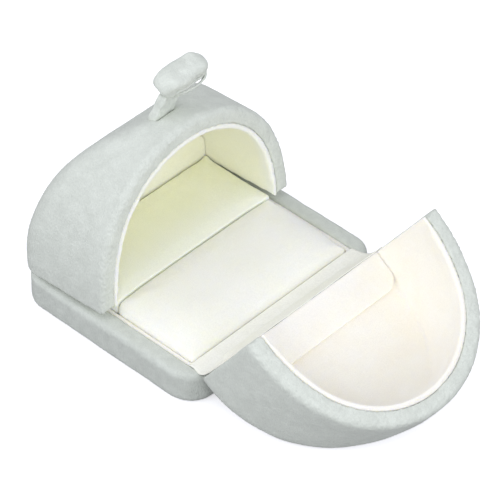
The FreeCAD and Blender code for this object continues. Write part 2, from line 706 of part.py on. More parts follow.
os.makedirs("parts", exist_ok=True)
for item in subparts:
    item.Shape.exportStep("parts/%s.step" % item.Label)
    bounds = item.Shape.optimalBoundingBox()
    print("%-24s solids %d volume %8.1f  x %6.1f %6.1f  y %6.1f %6.1f  z %6.1f %6.1f" % (
        item.Label, len(item.Shape.Solids), item.Shape.Volume, bounds.XMin, bounds.XMax, bounds.YMin,
        bounds.YMax, bounds.ZMin, bounds.ZMax))
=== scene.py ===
"""Dresses a velvet ring box: a shallow tray with a slotted ring cushion under a split half-round lid.

Every length is a real one, in millimetres unless a name says otherwise, and turns to metres where a mesh
is made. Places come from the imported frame: +Z up, the opened half of the lid at -Y, +X to the right.
"""

from __future__ import annotations

import json
import logging
import math
from dataclasses import dataclass, replace
from enum import Enum
from typing import Callable, Iterable, Sequence

import bpy
import numpy as np
from mathutils import Matrix, Vector, noise


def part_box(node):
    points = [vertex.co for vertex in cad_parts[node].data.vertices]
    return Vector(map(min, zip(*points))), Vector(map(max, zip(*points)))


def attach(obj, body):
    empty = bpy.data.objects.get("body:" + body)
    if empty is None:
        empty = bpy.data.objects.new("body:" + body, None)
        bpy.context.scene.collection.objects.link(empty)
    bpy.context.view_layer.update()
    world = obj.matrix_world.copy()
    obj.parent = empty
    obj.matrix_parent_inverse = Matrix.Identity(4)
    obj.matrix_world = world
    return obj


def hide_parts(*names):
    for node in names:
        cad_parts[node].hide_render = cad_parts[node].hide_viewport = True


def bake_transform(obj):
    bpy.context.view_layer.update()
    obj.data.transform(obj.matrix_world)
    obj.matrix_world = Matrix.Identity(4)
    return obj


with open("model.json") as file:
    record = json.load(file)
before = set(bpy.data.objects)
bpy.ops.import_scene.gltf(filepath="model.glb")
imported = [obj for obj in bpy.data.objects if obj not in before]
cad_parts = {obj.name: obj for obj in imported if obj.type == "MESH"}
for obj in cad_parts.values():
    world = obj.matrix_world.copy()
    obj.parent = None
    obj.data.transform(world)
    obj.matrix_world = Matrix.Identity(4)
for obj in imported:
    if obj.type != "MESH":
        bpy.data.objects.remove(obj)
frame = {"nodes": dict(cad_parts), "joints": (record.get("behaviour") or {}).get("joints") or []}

MM = 0.001
LOG = logging.getLogger("ring_box")

Points = np.ndarray
Colour = tuple[float, float, float, float]

# A mix node's colour sockets, which share their names with its number sockets.
MIX_A, MIX_B, MIXED = 6, 7, 2


class End(Enum):
    """The two ends of the box, each with its own hinge and half lid."""

    FRONT = -1
    BACK = 1

    @property
    def word(self) -> str:
        """The end's name as it stands in the node names."""
        return self.name.lower()


# ---------- Finishes ----------


def linear(hex_colour: str) -> Colour:
    """Turns an sRGB hex colour to linear light.

    Args:
        hex_colour: six hex digits after a hash.

    Returns:
        Red, green, blue and an alpha of one.
    """
    parts = [int(hex_colour[i : i + 2], 16) / 255 for i in (1, 3, 5)]
    light = [c / 12.92 if c <= 0.04045 else ((c + 0.055) / 1.055) ** 2.4 for c in parts]
    return (light[0], light[1], light[2], 1.0)


def per_metre(size_mm: float) -> float:
    """The noise scale, in waves per metre, that draws features of a size."""
    return 1 / (size_mm * MM)


def add_node(tree: bpy.types.NodeTree, kind: str, inputs: dict | None = None, **settings) -> bpy.types.Node:
    """Adds a node with its settings, values and links.

    Args:
        tree: the node tree it joins.
        kind: the node's type.
        inputs: socket name or number to a value, or to the socket that feeds it.
        settings: attributes of the node.

    Returns:
        The node.
    """
    node = tree.nodes.new(kind)
    for name, setting in settings.items():
        setattr(node, name, setting)
    for name, given in (inputs or {}).items():
        if isinstance(given, bpy.types.NodeSocket):
            tree.links.new(given, node.inputs[name])
        else:
            node.inputs[name].default_value = given
    return node


def new_material(name: str) -> tuple[bpy.types.Material, bpy.types.NodeTree]:
    """An empty node material.

    Args:
        name: what the material is called.

    Returns:
        The material and its cleared tree.
    """
    material = bpy.data.materials.new(name)
    material.use_nodes = True
    material.node_tree.nodes.clear()
    return material, material.node_tree


def close_material(tree: bpy.types.NodeTree, shader: bpy.types.NodeSocket) -> None:
    """Feeds a shader to the material's output."""
    add_node(tree, "ShaderNodeOutputMaterial", {"Surface": shader})


@dataclass(frozen=True)
class Cloth:
    """Pile or flock cloth: short fibres stand on a woven ground.

    The fibres catch light at their tips, which lightens the cloth where it turns away, and strokes of a
    hand leave them leaning, which shows as soft lighter and darker patches. White flock also lets light
    through it for its depth, so its creases never go black.
    """

    name: str
    tip: str
    stroked: str
    patch: float
    fibre: float
    relief: float
    streak: float = 1.0
    sheen: float = 0.12
    sheen_roughness: float = 0.5
    sheen_tint: str = "#FFFFFF"
    depth: float = 0.0
    # edge, edge_start and edge_reach paint light and shade: a fade along Y from the edge colour to the
    # cloth's own.
    edge: str = ""
    edge_start: float = 0.6
    edge_reach: float = 5.0
    roughness: float = 0.95

    def material(self) -> bpy.types.Material:
        """Builds the cloth's material.

        Returns:
            The material.
        """
        material, tree = new_material(self.name)
        place = add_node(tree, "ShaderNodeTexCoord").outputs["Object"]
        patches = add_node(tree, "ShaderNodeTexNoise", {
            "Vector": place, "Scale": per_metre(self.patch), "Detail": 3.0, "Roughness": 0.55,
            "Distortion": 0.6})
        leaning = add_node(tree, "ShaderNodeMapRange", {
            "Value": patches.outputs["Fac"], "From Min": 0.35, "From Max": 0.65})
        ground = add_node(tree, "ShaderNodeMix", {
            "Factor": leaning.outputs["Result"], MIX_A: linear(self.tip),
            MIX_B: linear(self.stroked)}, data_type="RGBA")
        # Painted light and shade: a cloth with an edge colour fades to it towards the middle of the box.
        if self.edge:
            ground = self.paint_light_fade(tree, place, ground)
        drawn = add_node(tree, "ShaderNodeMapping", {"Vector": place, "Scale": (1.0, 1.0, self.streak)})
        fibres = add_node(tree, "ShaderNodeTexNoise", {
            "Vector": drawn.outputs["Vector"], "Scale": per_metre(self.fibre), "Detail": 2.0,
            "Roughness": 0.6})
        speckle = add_node(tree, "ShaderNodeMapRange", {
            "Value": fibres.outputs["Fac"], "From Min": 0.3, "From Max": 0.7, "To Min": 0.94,
            "To Max": 1.04})
        colour = add_node(tree, "ShaderNodeVectorMath", {
            0: ground.outputs[MIXED], "Scale": speckle.outputs["Result"]}, operation="SCALE")
        bump = add_node(tree, "ShaderNodeBump", {
            "Height": fibres.outputs["Fac"], "Strength": self.relief, "Distance": self.fibre * MM})
        shader = add_node(tree, "ShaderNodeBsdfPrincipled", {
            "Base Color": colour.outputs["Vector"], "Roughness": self.roughness, "IOR": 1.46,
            "Specular IOR Level": 0.2, "Sheen Weight": self.sheen, "Sheen Roughness": self.sheen_roughness,
            "Sheen Tint": linear(self.sheen_tint), "Subsurface Weight": min(1.0, self.depth),
            "Subsurface Radius": (1.0, 0.95, 0.7), "Subsurface Scale": max(self.depth, 0.1) * MM,
            "Normal": bump.outputs["Normal"]})
        close_material(tree, shader.outputs["BSDF"])
        return material

    def paint_light_fade(self, tree: bpy.types.NodeTree, place: bpy.types.NodeSocket,
                 ground: bpy.types.Node) -> bpy.types.Node:
        """Paints light and shade in: fades the cloth from its own colour, painted shade deep in the closed
        half, to its edge colour, painted light out at the middle of the box.

        Args:
            tree: the cloth's node tree.
            place: where a point lies.
            ground: the node that mixes the cloth's own colours.

        Returns:
            The node that mixes in the edge colour.
        """
        split = add_node(tree, "ShaderNodeSeparateXYZ", {0: place})
        deep = add_node(tree, "ShaderNodeMapRange", {
            "Value": split.outputs["Y"], "From Min": self.edge_start * MM,
            "From Max": self.edge_reach * MM}, interpolation_type="SMOOTHSTEP")
        return add_node(tree, "ShaderNodeMix", {
            "Factor": deep.outputs["Result"], MIX_A: linear(self.edge),
            MIX_B: ground.outputs[MIXED]}, data_type="RGBA")


@dataclass(frozen=True)
class Moulding:
    """Matt sheet or moulded stuff, such as polystyrene or greyboard, with a fine even grain."""

    name: str
    colour: str
    fleck: str
    grain: float
    roughness: float
    ior: float

    def material(self) -> bpy.types.Material:
        """Builds the stuff's material.

        Returns:
            The material.
        """
        material, tree = new_material(self.name)
        place = add_node(tree, "ShaderNodeTexCoord").outputs["Object"]
        grain = add_node(tree, "ShaderNodeTexNoise", {
            "Vector": place, "Scale": per_metre(self.grain), "Detail": 2.0})
        colour = add_node(tree, "ShaderNodeMix", {
            "Factor": grain.outputs["Fac"], MIX_A: linear(self.colour), MIX_B: linear(self.fleck)},
            data_type="RGBA")
        bump = add_node(tree, "ShaderNodeBump", {
            "Height": grain.outputs["Fac"], "Strength": 0.25, "Distance": self.grain * MM / 2})
        shader = add_node(tree, "ShaderNodeBsdfPrincipled", {
            "Base Color": colour.outputs[MIXED], "Roughness": self.roughness, "IOR": self.ior,
            "Normal": bump.outputs["Normal"]})
        close_material(tree, shader.outputs["BSDF"])
        return material


@dataclass(frozen=True)
class Steel:
    """Cold-rolled strip, stamped and barrelled: faint rolling lines along the strip."""

    name: str
    colour: str
    line: float
    roughness: float

    def material(self) -> bpy.types.Material:
        """Builds the steel's material.

        Returns:
            The material.
        """
        material, tree = new_material(self.name)
        place = add_node(tree, "ShaderNodeTexCoord").outputs["Object"]
        drawn = add_node(tree, "ShaderNodeMapping", {"Vector": place, "Scale": (0.04, 1.0, 1.0)})
        lines = add_node(tree, "ShaderNodeTexNoise", {
            "Vector": drawn.outputs["Vector"], "Scale": per_metre(self.line), "Detail": 3.0})
        dull = add_node(tree, "ShaderNodeMapRange", {
            "Value": lines.outputs["Fac"], "To Min": self.roughness - 0.08,
            "To Max": self.roughness + 0.1})
        bump = add_node(tree, "ShaderNodeBump", {
            "Height": lines.outputs["Fac"], "Strength": 0.12, "Distance": self.line * MM / 2})
        shader = add_node(tree, "ShaderNodeBsdfPrincipled", {
            "Base Color": linear(self.colour), "Metallic": 1.0, "Roughness": dull.outputs["Result"],
            "Normal": bump.outputs["Normal"]})
        close_material(tree, shader.outputs["BSDF"])
        return material


# Cut-pile velvet, pale grey-green. The fibres are drawn at a quarter of a millimetre, coarser than they
# are, so that they still show at a few pixels to the millimetre.
VELVET = Cloth("velvet_cut_pile", tip="#DDE2D5", stroked="#D5DACD", patch=3.0, fibre=0.28, relief=0.75,
               streak=0.45, sheen=0.35, sheen_roughness=0.45, sheen_tint="#F4F6F0")
# The same velvet on the tray, written a shade darker than the lids': painted shade, for the tray sits low
# under the lids and by the table.
PAINTED_SHADE_TRAY_VELVET = replace(VELVET, name="velvet_cut_pile_tray", tip="#D5DACE", stroked="#CBD0C4")
# Flocked lining cloth in the closed half: a warm white written cream as painted shade, for light turns cream
# between its walls, fading to a cooler white towards the rim as painted light, where light reaches in.
FLOCK_PAINTED_SHADE_AND_LIGHT = Cloth("lining_flocked_cloth", tip="#FBFAE2", stroked="#F8F7DC", patch=9.0, fibre=0.22, relief=0.25,
              depth=0.8, edge="#F6F8EC", edge_reach=6.0)
# The same cloth in the opened half, written whiter as painted light, with no fade.
FLOCK_PAINTED_LIGHT = replace(FLOCK_PAINTED_SHADE_AND_LIGHT, name="lining_flocked_cloth_daylit", tip="#FBF6E9", stroked="#F9F3E4", edge="")
# Over the foam, brushed a little by rings. Under the closed half it is written cream as painted shade,
# fading to white towards the middle of the box as painted light; the whiter copy under the opened one is
# painted light.
CUSHION_PAINTED_SHADE_AND_LIGHT = Cloth("cushion_flocked_cloth", tip="#F5F7DC", stroked="#F1F3D6", patch=11.0, fibre=0.24,
                      relief=0.3, depth=1.0, edge="#F4F9E6", edge_reach=16.0)
CUSHION_PAINTED_LIGHT = replace(CUSHION_PAINTED_SHADE_AND_LIGHT, name="cushion_flocked_cloth_daylit", tip="#FDFDEC",
                         stroked="#FBFBE7", edge="")
# Plain-woven strip over the hinge, a cooler white.
STRIP_CLOTH = Cloth("hinge_strip_woven_cloth", tip="#FCFCF0", stroked="#FAFAEB", patch=5.0, fibre=0.3,
                    relief=0.3, sheen=0.1)
# Velvet ribbon, the same pile on a narrow ground.
RIBBON = replace(VELVET, name="ribbon_velvet", tip="#E2E7DA", stroked="#D4D9CC", fibre=0.26, relief=0.6,
                 streak=0.6)
# Pressed wool felt under the tray.
FELT = Cloth("base_pressed_felt", tip="#A9AFAC", stroked="#9CA29F", patch=4.0, fibre=0.35, relief=0.7,
             sheen=0.2, sheen_roughness=0.6, sheen_tint="#E8ECEA")
# Moulded polystyrene is an even matt white; pressed greyboard is dull and flecked; rolled strip steel is
# bright, with its shine drawn out along the rolling lines.
POLYSTYRENE = Moulding("polystyrene_moulded", "#E6E6E2", "#DEDEDA", grain=0.3, roughness=0.55, ior=1.59)
GREYBOARD = Moulding("greyboard_pressed", "#C9C5BA", "#B4AFA3", grain=0.5, roughness=0.9, ior=1.5)
STRIP_STEEL = Steel("steel_cold_rolled", "#B9BABB", line=0.12, roughness=0.34)


# ---------- Meshes ----------


def mesh_piece(name: str, points: Points, faces: Sequence[Sequence[int]]) -> bpy.types.Object:
    """A smooth-shaded mesh object.

    Args:
        name: the piece's name.
        points: its vertices in millimetres.
        faces: vertex numbers of each face.

    Returns:
        The object, in metres, linked to the scene.
    """
    mesh = bpy.data.meshes.new(name)
    mesh.from_pydata([tuple(point) for point in np.asarray(points, float) * MM], [], faces)
    mesh.validate()
    mesh.shade_smooth()
    piece = bpy.data.objects.new(name, mesh)
    bpy.context.scene.collection.objects.link(piece)
    return piece


def read_points(piece: bpy.types.Object) -> Points:
    """The vertices of a mesh object.

    Args:
        piece: the object.

    Returns:
        One row a vertex, in millimetres.
    """
    flat = np.empty(len(piece.data.vertices) * 3)
    piece.data.vertices.foreach_get("co", flat)
    return flat.reshape(-1, 3) / MM


def write_points(piece: bpy.types.Object, points: Points) -> None:
    """Sets the vertices of a mesh object from millimetres."""
    piece.data.vertices.foreach_set("co", (points * MM).ravel())
    piece.data.update()


def read_normals(piece: bpy.types.Object) -> Points:
    """The vertex normals of a mesh object.

    Args:
        piece: the object.

    Returns:
        One row a vertex.
    """
    flat = np.empty(len(piece.data.vertices) * 3)
    piece.data.vertex_normals.foreach_get("vector", flat)
    return flat.reshape(-1, 3)


def bake_modifiers(piece: bpy.types.Object) -> None:
    """Turns what a piece's modifiers make of it into its own mesh.

    Args:
        piece: the piece, which keeps no modifier.
    """
    graph = bpy.context.evaluated_depsgraph_get()
    graph.update()
    made = bpy.data.meshes.new_from_object(piece.evaluated_get(graph))
    piece.modifiers.clear()
    old, piece.data = piece.data, made
    bpy.data.meshes.remove(old)
    made.name = piece.name
    made.shade_smooth()


def copy_nodes(name: str, nodes: Iterable[str],
               reshape: Callable[[str, Points], Points] | None = None) -> bpy.types.Object:
    """One new mesh of several solids of the frame, left in place.

    Args:
        name: the new piece's name.
        nodes: the solids.
        reshape: makes of a solid's name and points its points in the new mesh.

    Returns:
        The piece.
    """
    points: list[Points] = []
    faces: list[list[int]] = []
    start = 0
    for node in nodes:
        solid = frame["nodes"][node]
        own = read_points(solid)
        points.append(reshape(node, own) if reshape else own)
        faces += [[start + corner for corner in face.vertices] for face in solid.data.polygons]
        start += len(own)
    return mesh_piece(name, np.vstack(points), faces)


def soften(piece: bpy.types.Object, voxel: float, rounds: int) -> bpy.types.Object:
    """Remeshes a piece evenly and smooths it, which rolls its sharp edges over as cloth would.

    Args:
        piece: a closed mesh.
        voxel: the new mesh's pitch.
        rounds: rounds of smoothing.

    Returns:
        The same piece.
    """
    remesh = piece.modifiers.new("even", "REMESH")
    remesh.mode = "VOXEL"
    remesh.voxel_size = voxel * MM
    smooth = piece.modifiers.new("soft", "SMOOTH")
    smooth.factor = 0.5
    smooth.iterations = rounds
    bake_modifiers(piece)
    return piece


def rough_heights(points: Points, grain: float, seed: float) -> Points:
    """Even noise at every point, from -1 to 1, with features of a size.

    Args:
        points: places in millimetres.
        grain: the size of its features.
        seed: shifts the noise, so that pieces differ.

    Returns:
        One height a point.
    """
    shift = Vector((seed, 2.3 * seed, -1.7 * seed))
    return np.array([noise.noise(Vector(point) / grain + shift) for point in points])


def raise_pile(piece: bpy.types.Object, coarse: tuple[float, float], fine: tuple[float, float],
               seed: float) -> None:
    """Moves a surface in and out, as the pile of a cloth does, and keeps it above the table.

    Args:
        piece: the mesh.
        coarse: height and grain of its slow waves.
        fine: height and grain of its tufts.
        seed: shifts the noise.
    """
    points = read_points(piece)
    heights = sum(height * rough_heights(points, grain, seed + grain) for height, grain in (coarse, fine))
    points += read_normals(piece) * heights[:, None]
    points[:, 2] = np.maximum(points[:, 2], 0)
    write_points(piece, points)


def smooth_step(values: Points, low: float, high: float) -> Points:
    """Turns values to 0 below low and 1 above high, with a soft ramp between."""
    share = np.clip((values - low) / (high - low), 0, 1)
    return share * share * (3 - 2 * share)


def dress(piece: bpy.types.Object, material: bpy.types.Material) -> None:
    """Gives a piece one material."""
    piece.data.materials.clear()
    piece.data.materials.append(material)


def put_in_place(piece: bpy.types.Object, material: bpy.types.Material, slot: str, body: str,
                 *nodes: str) -> bpy.types.Object:
    """Dresses a piece, lets it ride a body and puts it in the place of solids.

    Args:
        piece: the piece.
        material: its finish.
        slot: not used.
        body: the body that it rides on.
        nodes: the solids that it stands for.

    Returns:
        The piece.
    """
    dress(piece, material)
    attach(piece, body)
    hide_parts(*nodes)
    return piece


def corners(node: str) -> tuple[Points, Points]:
    """A solid's lowest and highest corners at rest, in millimetres."""
    low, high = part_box(node)
    return np.array(low) / MM, np.array(high) / MM


def turn_about_x(points: Points, centre: Points, degrees: float) -> Points:
    """Turns points in the YZ plane about a centre.

    Args:
        points: rows of y and z.
        centre: y and z of the axis.
        degrees: the angle, right-handed about +X.

    Returns:
        The turned rows.
    """
    angle = math.radians(degrees)
    turn = np.array([[math.cos(angle), math.sin(angle)], [-math.sin(angle), math.cos(angle)]])
    return (points - centre) @ turn + centre


def tangent_angle(outside: Points, centre: Points, radius: float, turn: int) -> float:
    """Where a line from a point outside a circle touches it.

    Args:
        outside: the point.
        centre: the circle's centre.
        radius: its radius.
        turn: 1 or -1, for the touching point on the left or right of the line to the centre.

    Returns:
        The angle of the touching point about the centre.
    """
    away = outside - centre
    lean = math.acos(min(1.0, radius / float(np.hypot(*away))))
    return math.atan2(away[1], away[0]) + turn * lean


def even_line(points: Points, count: int) -> Points:
    """Draws a line again with evenly spaced points.

    Args:
        points: the line's corners, one row each.
        count: how many points it gets.

    Returns:
        The points.
    """
    run = np.concatenate([[0], np.cumsum(np.linalg.norm(np.diff(points, axis=0), axis=1))])
    places = np.linspace(0, run[-1], count)
    return np.stack([np.interp(places, run, points[:, axis]) for axis in range(points.shape[1])], axis=1)


def ease(line: Points, rounds: int) -> Points:
    """Eases a line's corners and keeps its ends.

    Args:
        line: its points, one row each.
        rounds: rounds of easing.

    Returns:
        The eased points.
    """
    eased = line.copy()
    for _ in range(rounds):
        eased[1:-1] = (eased[:-2] + 2 * eased[1:-1] + eased[2:]) / 4
    return eased


def closed_sheet(name: str, middle: Points, thick: float) -> bpy.types.Object:
    """A thin closed sheet about a grid of points.

    Args:
        name: the piece's name.
        middle: rows and columns of points in millimetres.
        thick: its thickness.

    Returns:
        The piece.
    """
    rows, columns = middle.shape[:2]
    along = np.gradient(middle, axis=0)
    across = np.gradient(middle, axis=1)
    normal = np.cross(along, across)
    normal /= np.linalg.norm(normal, axis=2, keepdims=True)
    points = np.concatenate([(middle + normal * thick / 2).reshape(-1, 3),
                             (middle - normal * thick / 2).reshape(-1, 3)])
    below = rows * columns
    faces = []
    for row in range(rows - 1):
        for column in range(columns - 1):
            a, b = row * columns + column, (row + 1) * columns + column
            faces.append([a, b, b + 1, a + 1])
            faces.append([below + a, below + a + 1, below + b + 1, below + b])
    border = [row * columns for row in range(rows)]
    border += [(rows - 1) * columns + column for column in range(1, columns)]
    border += [row * columns + columns - 1 for row in range(rows - 2, -1, -1)]
    border += [column for column in range(columns - 2, 0, -1)]
    for here, there in zip(border, border[1:] + border[:1]):
        faces.append([there, here, below + here, below + there])
    return mesh_piece(name, points, faces)


# ---------- Sub-assemblies ----------


@dataclass
class Wardrobe:
    """Every finish of the box, made once."""

    velvet: bpy.types.Material
    # The tray's velvet, written darker than the lids' as painted shade.
    tray_velvet: bpy.types.Material
    # Each end's lining and cushion cloth: the opened front's copy carries painted light, the closed back's
    # painted shade that fades to painted light towards the middle.
    flock: dict[End, bpy.types.Material]
    cushion: dict[End, bpy.types.Material]
    strip: bpy.types.Material
    ribbon: bpy.types.Material
    felt: bpy.types.Material
    polystyrene: bpy.types.Material
    greyboard: bpy.types.Material
    steel: bpy.types.Material

    @classmethod
    def filled(cls) -> Wardrobe:
        """Makes the finishes.

        Returns:
            The full wardrobe.
        """
        flock = {End.FRONT: FLOCK_PAINTED_LIGHT.material(), End.BACK: FLOCK_PAINTED_SHADE_AND_LIGHT.material()}
        cushion = {End.FRONT: CUSHION_PAINTED_LIGHT.material(), End.BACK: CUSHION_PAINTED_SHADE_AND_LIGHT.material()}
        return cls(VELVET.material(), PAINTED_SHADE_TRAY_VELVET.material(), flock, cushion, STRIP_CLOTH.material(),
                   RIBBON.material(), FELT.material(), POLYSTYRENE.material(), GREYBOARD.material(),
                   STRIP_STEEL.material())


@dataclass
class Pin:
    """A half lid's hinge axis, read from the frame's joints."""

    end: End
    y: float
    z: float
    opened: float

    @classmethod
    def of(cls, end: End) -> Pin:
        """Finds the axis of an end's hinge and how far its half lid stands open, about +X.

        Args:
            end: which end.

        Returns:
            The hinge's pin.
        """
        joint = next(j for j in frame["joints"] if j["child"] == end.word + "_lid")
        _, y, z = (value / MM for value in joint["pos_m"])
        closing = joint["range_deg"][0] * joint["axis"][0]
        return cls(end, y, z, -closing)

    def swing(self, points: Points, degrees: float) -> Points:
        """Turns points about the pin.

        Args:
            points: rows of x, y and z.
            degrees: the angle, right-handed about +X.

        Returns:
            The turned rows.
        """
        turned = points.copy()
        turned[:, 1:] = turn_about_x(points[:, 1:], np.array([self.y, self.z]), degrees)
        return turned

    def closed(self, points: Points) -> Points:
        """Where points of the half lid are when it is shut."""
        return self.swing(points, -self.opened)

    def opened_again(self, points: Points) -> Points:
        """Where points of the shut half lid stand at rest."""
        return self.swing(points, self.opened)


@dataclass
class Tray:
    """The velvet-wrapped tray with its lining frame."""

    wardrobe: Wardrobe
    voxel: float = 0.34
    rounds: int = 3
    lining_voxel: float = 0.4
    lining_rounds: int = 2
    felt_rounds: int = 1

    def wrap(self) -> bpy.types.Object:
        """The velvet round the tray's walls and over its rim.

        Returns:
            The piece.
        """
        piece = soften(copy_nodes("tray_velvet_wrap", ["tray_velvet"]), self.voxel, self.rounds)
        raise_pile(piece, coarse=(0.1, 5.0), fine=(0.07, 0.42), seed=3.0)
        # The tray's velvet is written darker than the lids': painted shade.
        return put_in_place(piece, self.wardrobe.tray_velvet, "velvet", "tray", "tray_velvet")

    def base(self) -> bpy.types.Object:
        """The felt on the underside.

        Returns:
            The piece.
        """
        piece = soften(copy_nodes("tray_base_felt", ["base_felt"]), self.lining_voxel, self.felt_rounds)
        return put_in_place(piece, self.wardrobe.felt, "felt", "tray", "base_felt")

    def lining(self) -> bpy.types.Object:
        """The lining frame round the cushion.

        Returns:
            The piece.
        """
        piece = soften(copy_nodes("tray_lining_frame", ["tray_lining"]), self.lining_voxel,
                       self.lining_rounds)
        raise_pile(piece, coarse=(0.04, 4.0), fine=(0.03, 0.5), seed=5.0)
        # The lining frame takes the copy with painted light.
        return put_in_place(piece, self.wardrobe.flock[End.FRONT], "lining", "tray", "tray_lining")

    def build(self) -> list[bpy.types.Object]:
        """Makes the tray's pieces and dresses the solids that stay.

        Returns:
            The pieces.
        """
        dress(frame["nodes"]["tray_shell"], self.wardrobe.polystyrene)
        dress(frame["nodes"]["cushion_card"], self.wardrobe.greyboard)
        return [self.wrap(), self.base(), self.lining()]


@dataclass
class RingCushion:
    """One foam half of the ring cushion, wrapped in flocked cloth and pressed up to the slot."""

    wardrobe: Wardrobe
    end: End
    pitch: float = 0.6
    rounds: int = 1
    room: float = 0.3
    side_sag: float = 1.0
    closed_side_sag: float = 0.4
    end_sag: float = 0.9
    slope: float = 9.0
    past_edge: float = 1.0
    press_out: float = 0.45
    close_slot: float = 0.42
    pressed_width: float = 4.0
    lip_round: float = 0.9
    lip_fill: float = 0.22
    wall_round: float = 2.0
    wall_fill: float = 0.4
    crown: float = 0.45
    lift: float = 20.0
    frames: int = 16
    pressure: float = 2.5
    stiffness: float = 40.0
    bending: float = 2.0

    def swell(self, piece: bpy.types.Object) -> None:
        """Blows the cover up a little with a cloth simulation, at a larger scale, then caps each move.

        Args:
            piece: the cushion, remeshed.
        """
        start = read_points(piece)
        write_points(piece, start * self.lift)
        scene = bpy.context.scene
        cloth = piece.modifiers.new("cover", "CLOTH")
        cloth.settings.quality = 5
        cloth.settings.use_pressure = True
        cloth.settings.uniform_pressure_force = self.pressure
        cloth.settings.effector_weights.gravity = 0.0
        cloth.settings.tension_stiffness = self.stiffness
        cloth.settings.compression_stiffness = self.stiffness
        cloth.settings.bending_stiffness = self.bending
        held = piece.vertex_groups.new(name="glued")
        low = start[:, 2].min()
        glued = [int(i) for i in np.flatnonzero(start[:, 2] < low + self.pitch)]
        held.add(glued, 1.0, "REPLACE")
        cloth.settings.vertex_group_mass = held.name
        cloth.point_cache.frame_start = 1
        cloth.point_cache.frame_end = self.frames
        for number in range(1, self.frames + 1):
            scene.frame_set(number)
        bake_modifiers(piece)
        scene.frame_set(1)
        moved = read_points(piece) / self.lift - start
        length = np.linalg.norm(moved, axis=1, keepdims=True)
        moved *= self.crown / (self.crown + length)
        write_points(piece, start + moved)
        piece.vertex_groups.clear()

    def build(self) -> list[bpy.types.Object]:
        """Makes the cushion.

        Returns:
            The one piece.
        """
        node = self.end.word + "_cushion"
        piece = soften(copy_nodes(self.end.word + "_ring_cushion", [node]), self.pitch, self.rounds)
        self.swell(piece)
        self.fit(piece, *corners(node))
        detail = piece.modifiers.new("fine", "SUBSURF")
        detail.levels = detail.render_levels = 1
        bake_modifiers(piece)
        raise_pile(piece, coarse=(0.1, 9.0), fine=(0.03, 0.7), seed=11.0 + self.end.value)
        # Each end's cushion cloth has its own painted light or shade.
        put_in_place(piece, self.wardrobe.cushion[self.end], "cushion", "tray", node)
        return [piece]

    @staticmethod
    def fill_edge(points: Points, top: float, axis: int, inside: Points, way: Points | float,
                  radius: float, fill: float) -> None:
        """Squares a rounded upper edge that is pressed against a wall or the other cushion.

        Args:
            points: the cushion's points, which are moved.
            top: the height of its upper face.
            axis: 0 or 1, the way that the wall faces.
            inside: how far each point lies inside the wall.
            way: 1 or -1, towards the wall.
            radius: the edge's own radius.
            fill: how far its middle is moved, outward and up alike.
        """
        depth = np.minimum(radius - inside, radius - (top - points[:, 2]))
        share = np.clip(depth / (radius * math.sqrt(0.5)), 0, 1)
        points[:, axis] += way * fill * share
        points[:, 2] += fill * share

    def fit(self, piece: bpy.types.Object, low: Points, high: Points) -> None:
        """Squares the cover's pressed edges, keeps it in its bay, sags its outer edges and closes the slot.

        Args:
            piece: the cushion.
            low: the foam's lowest corner.
            high: the foam's highest corner.
        """
        points = read_points(piece)
        opened = self.end is End.FRONT
        outer, lip = (low[1], high[1]) if opened else (high[1], low[1])
        self.fill_edge(points, high[2], 1, np.abs(points[:, 1] - lip), -self.end.value, self.lip_round,
                       self.lip_fill)
        if not opened:
            self.fill_edge(points, high[2], 0, high[0] - np.abs(points[:, 0]), np.sign(points[:, 0]),
                           self.wall_round, self.wall_fill)
            self.fill_edge(points, high[2], 1, high[1] - points[:, 1], 1.0, self.wall_round, self.wall_fill)
        spread = 1 + self.room / high[:2].max()
        points[:, 0] = np.clip(points[:, 0] * spread, low[0] - self.room, high[0] + self.room)
        points[:, 1] = np.clip(points[:, 1], low[1] - self.room, high[1] + self.room)
        points[:, 2] = np.maximum(points[:, 2], low[2])
        share = (points[:, 2] - low[2]) / (high[2] - low[2])
        side_sag = self.side_sag if opened else self.closed_side_sag
        drop = side_sag * (1 - smooth_step(high[0] - np.abs(points[:, 0]), -self.past_edge, self.slope))
        if opened:
            from_end = np.abs(points[:, 1] - outer)
            drop += self.end_sag * (1 - smooth_step(from_end, -self.past_edge, self.slope))
        points[:, 2] -= share * drop
        near = 1 - smooth_step(np.abs(points[:, 1] - lip), 0.0, self.pressed_width)
        points[:, 1] -= self.end.value * self.close_slot * near
        away = 1 - smooth_step(np.abs(points[:, 1] - outer), 0.0, self.pressed_width)
        points[:, 1] += self.end.value * self.press_out * away
        write_points(piece, points)


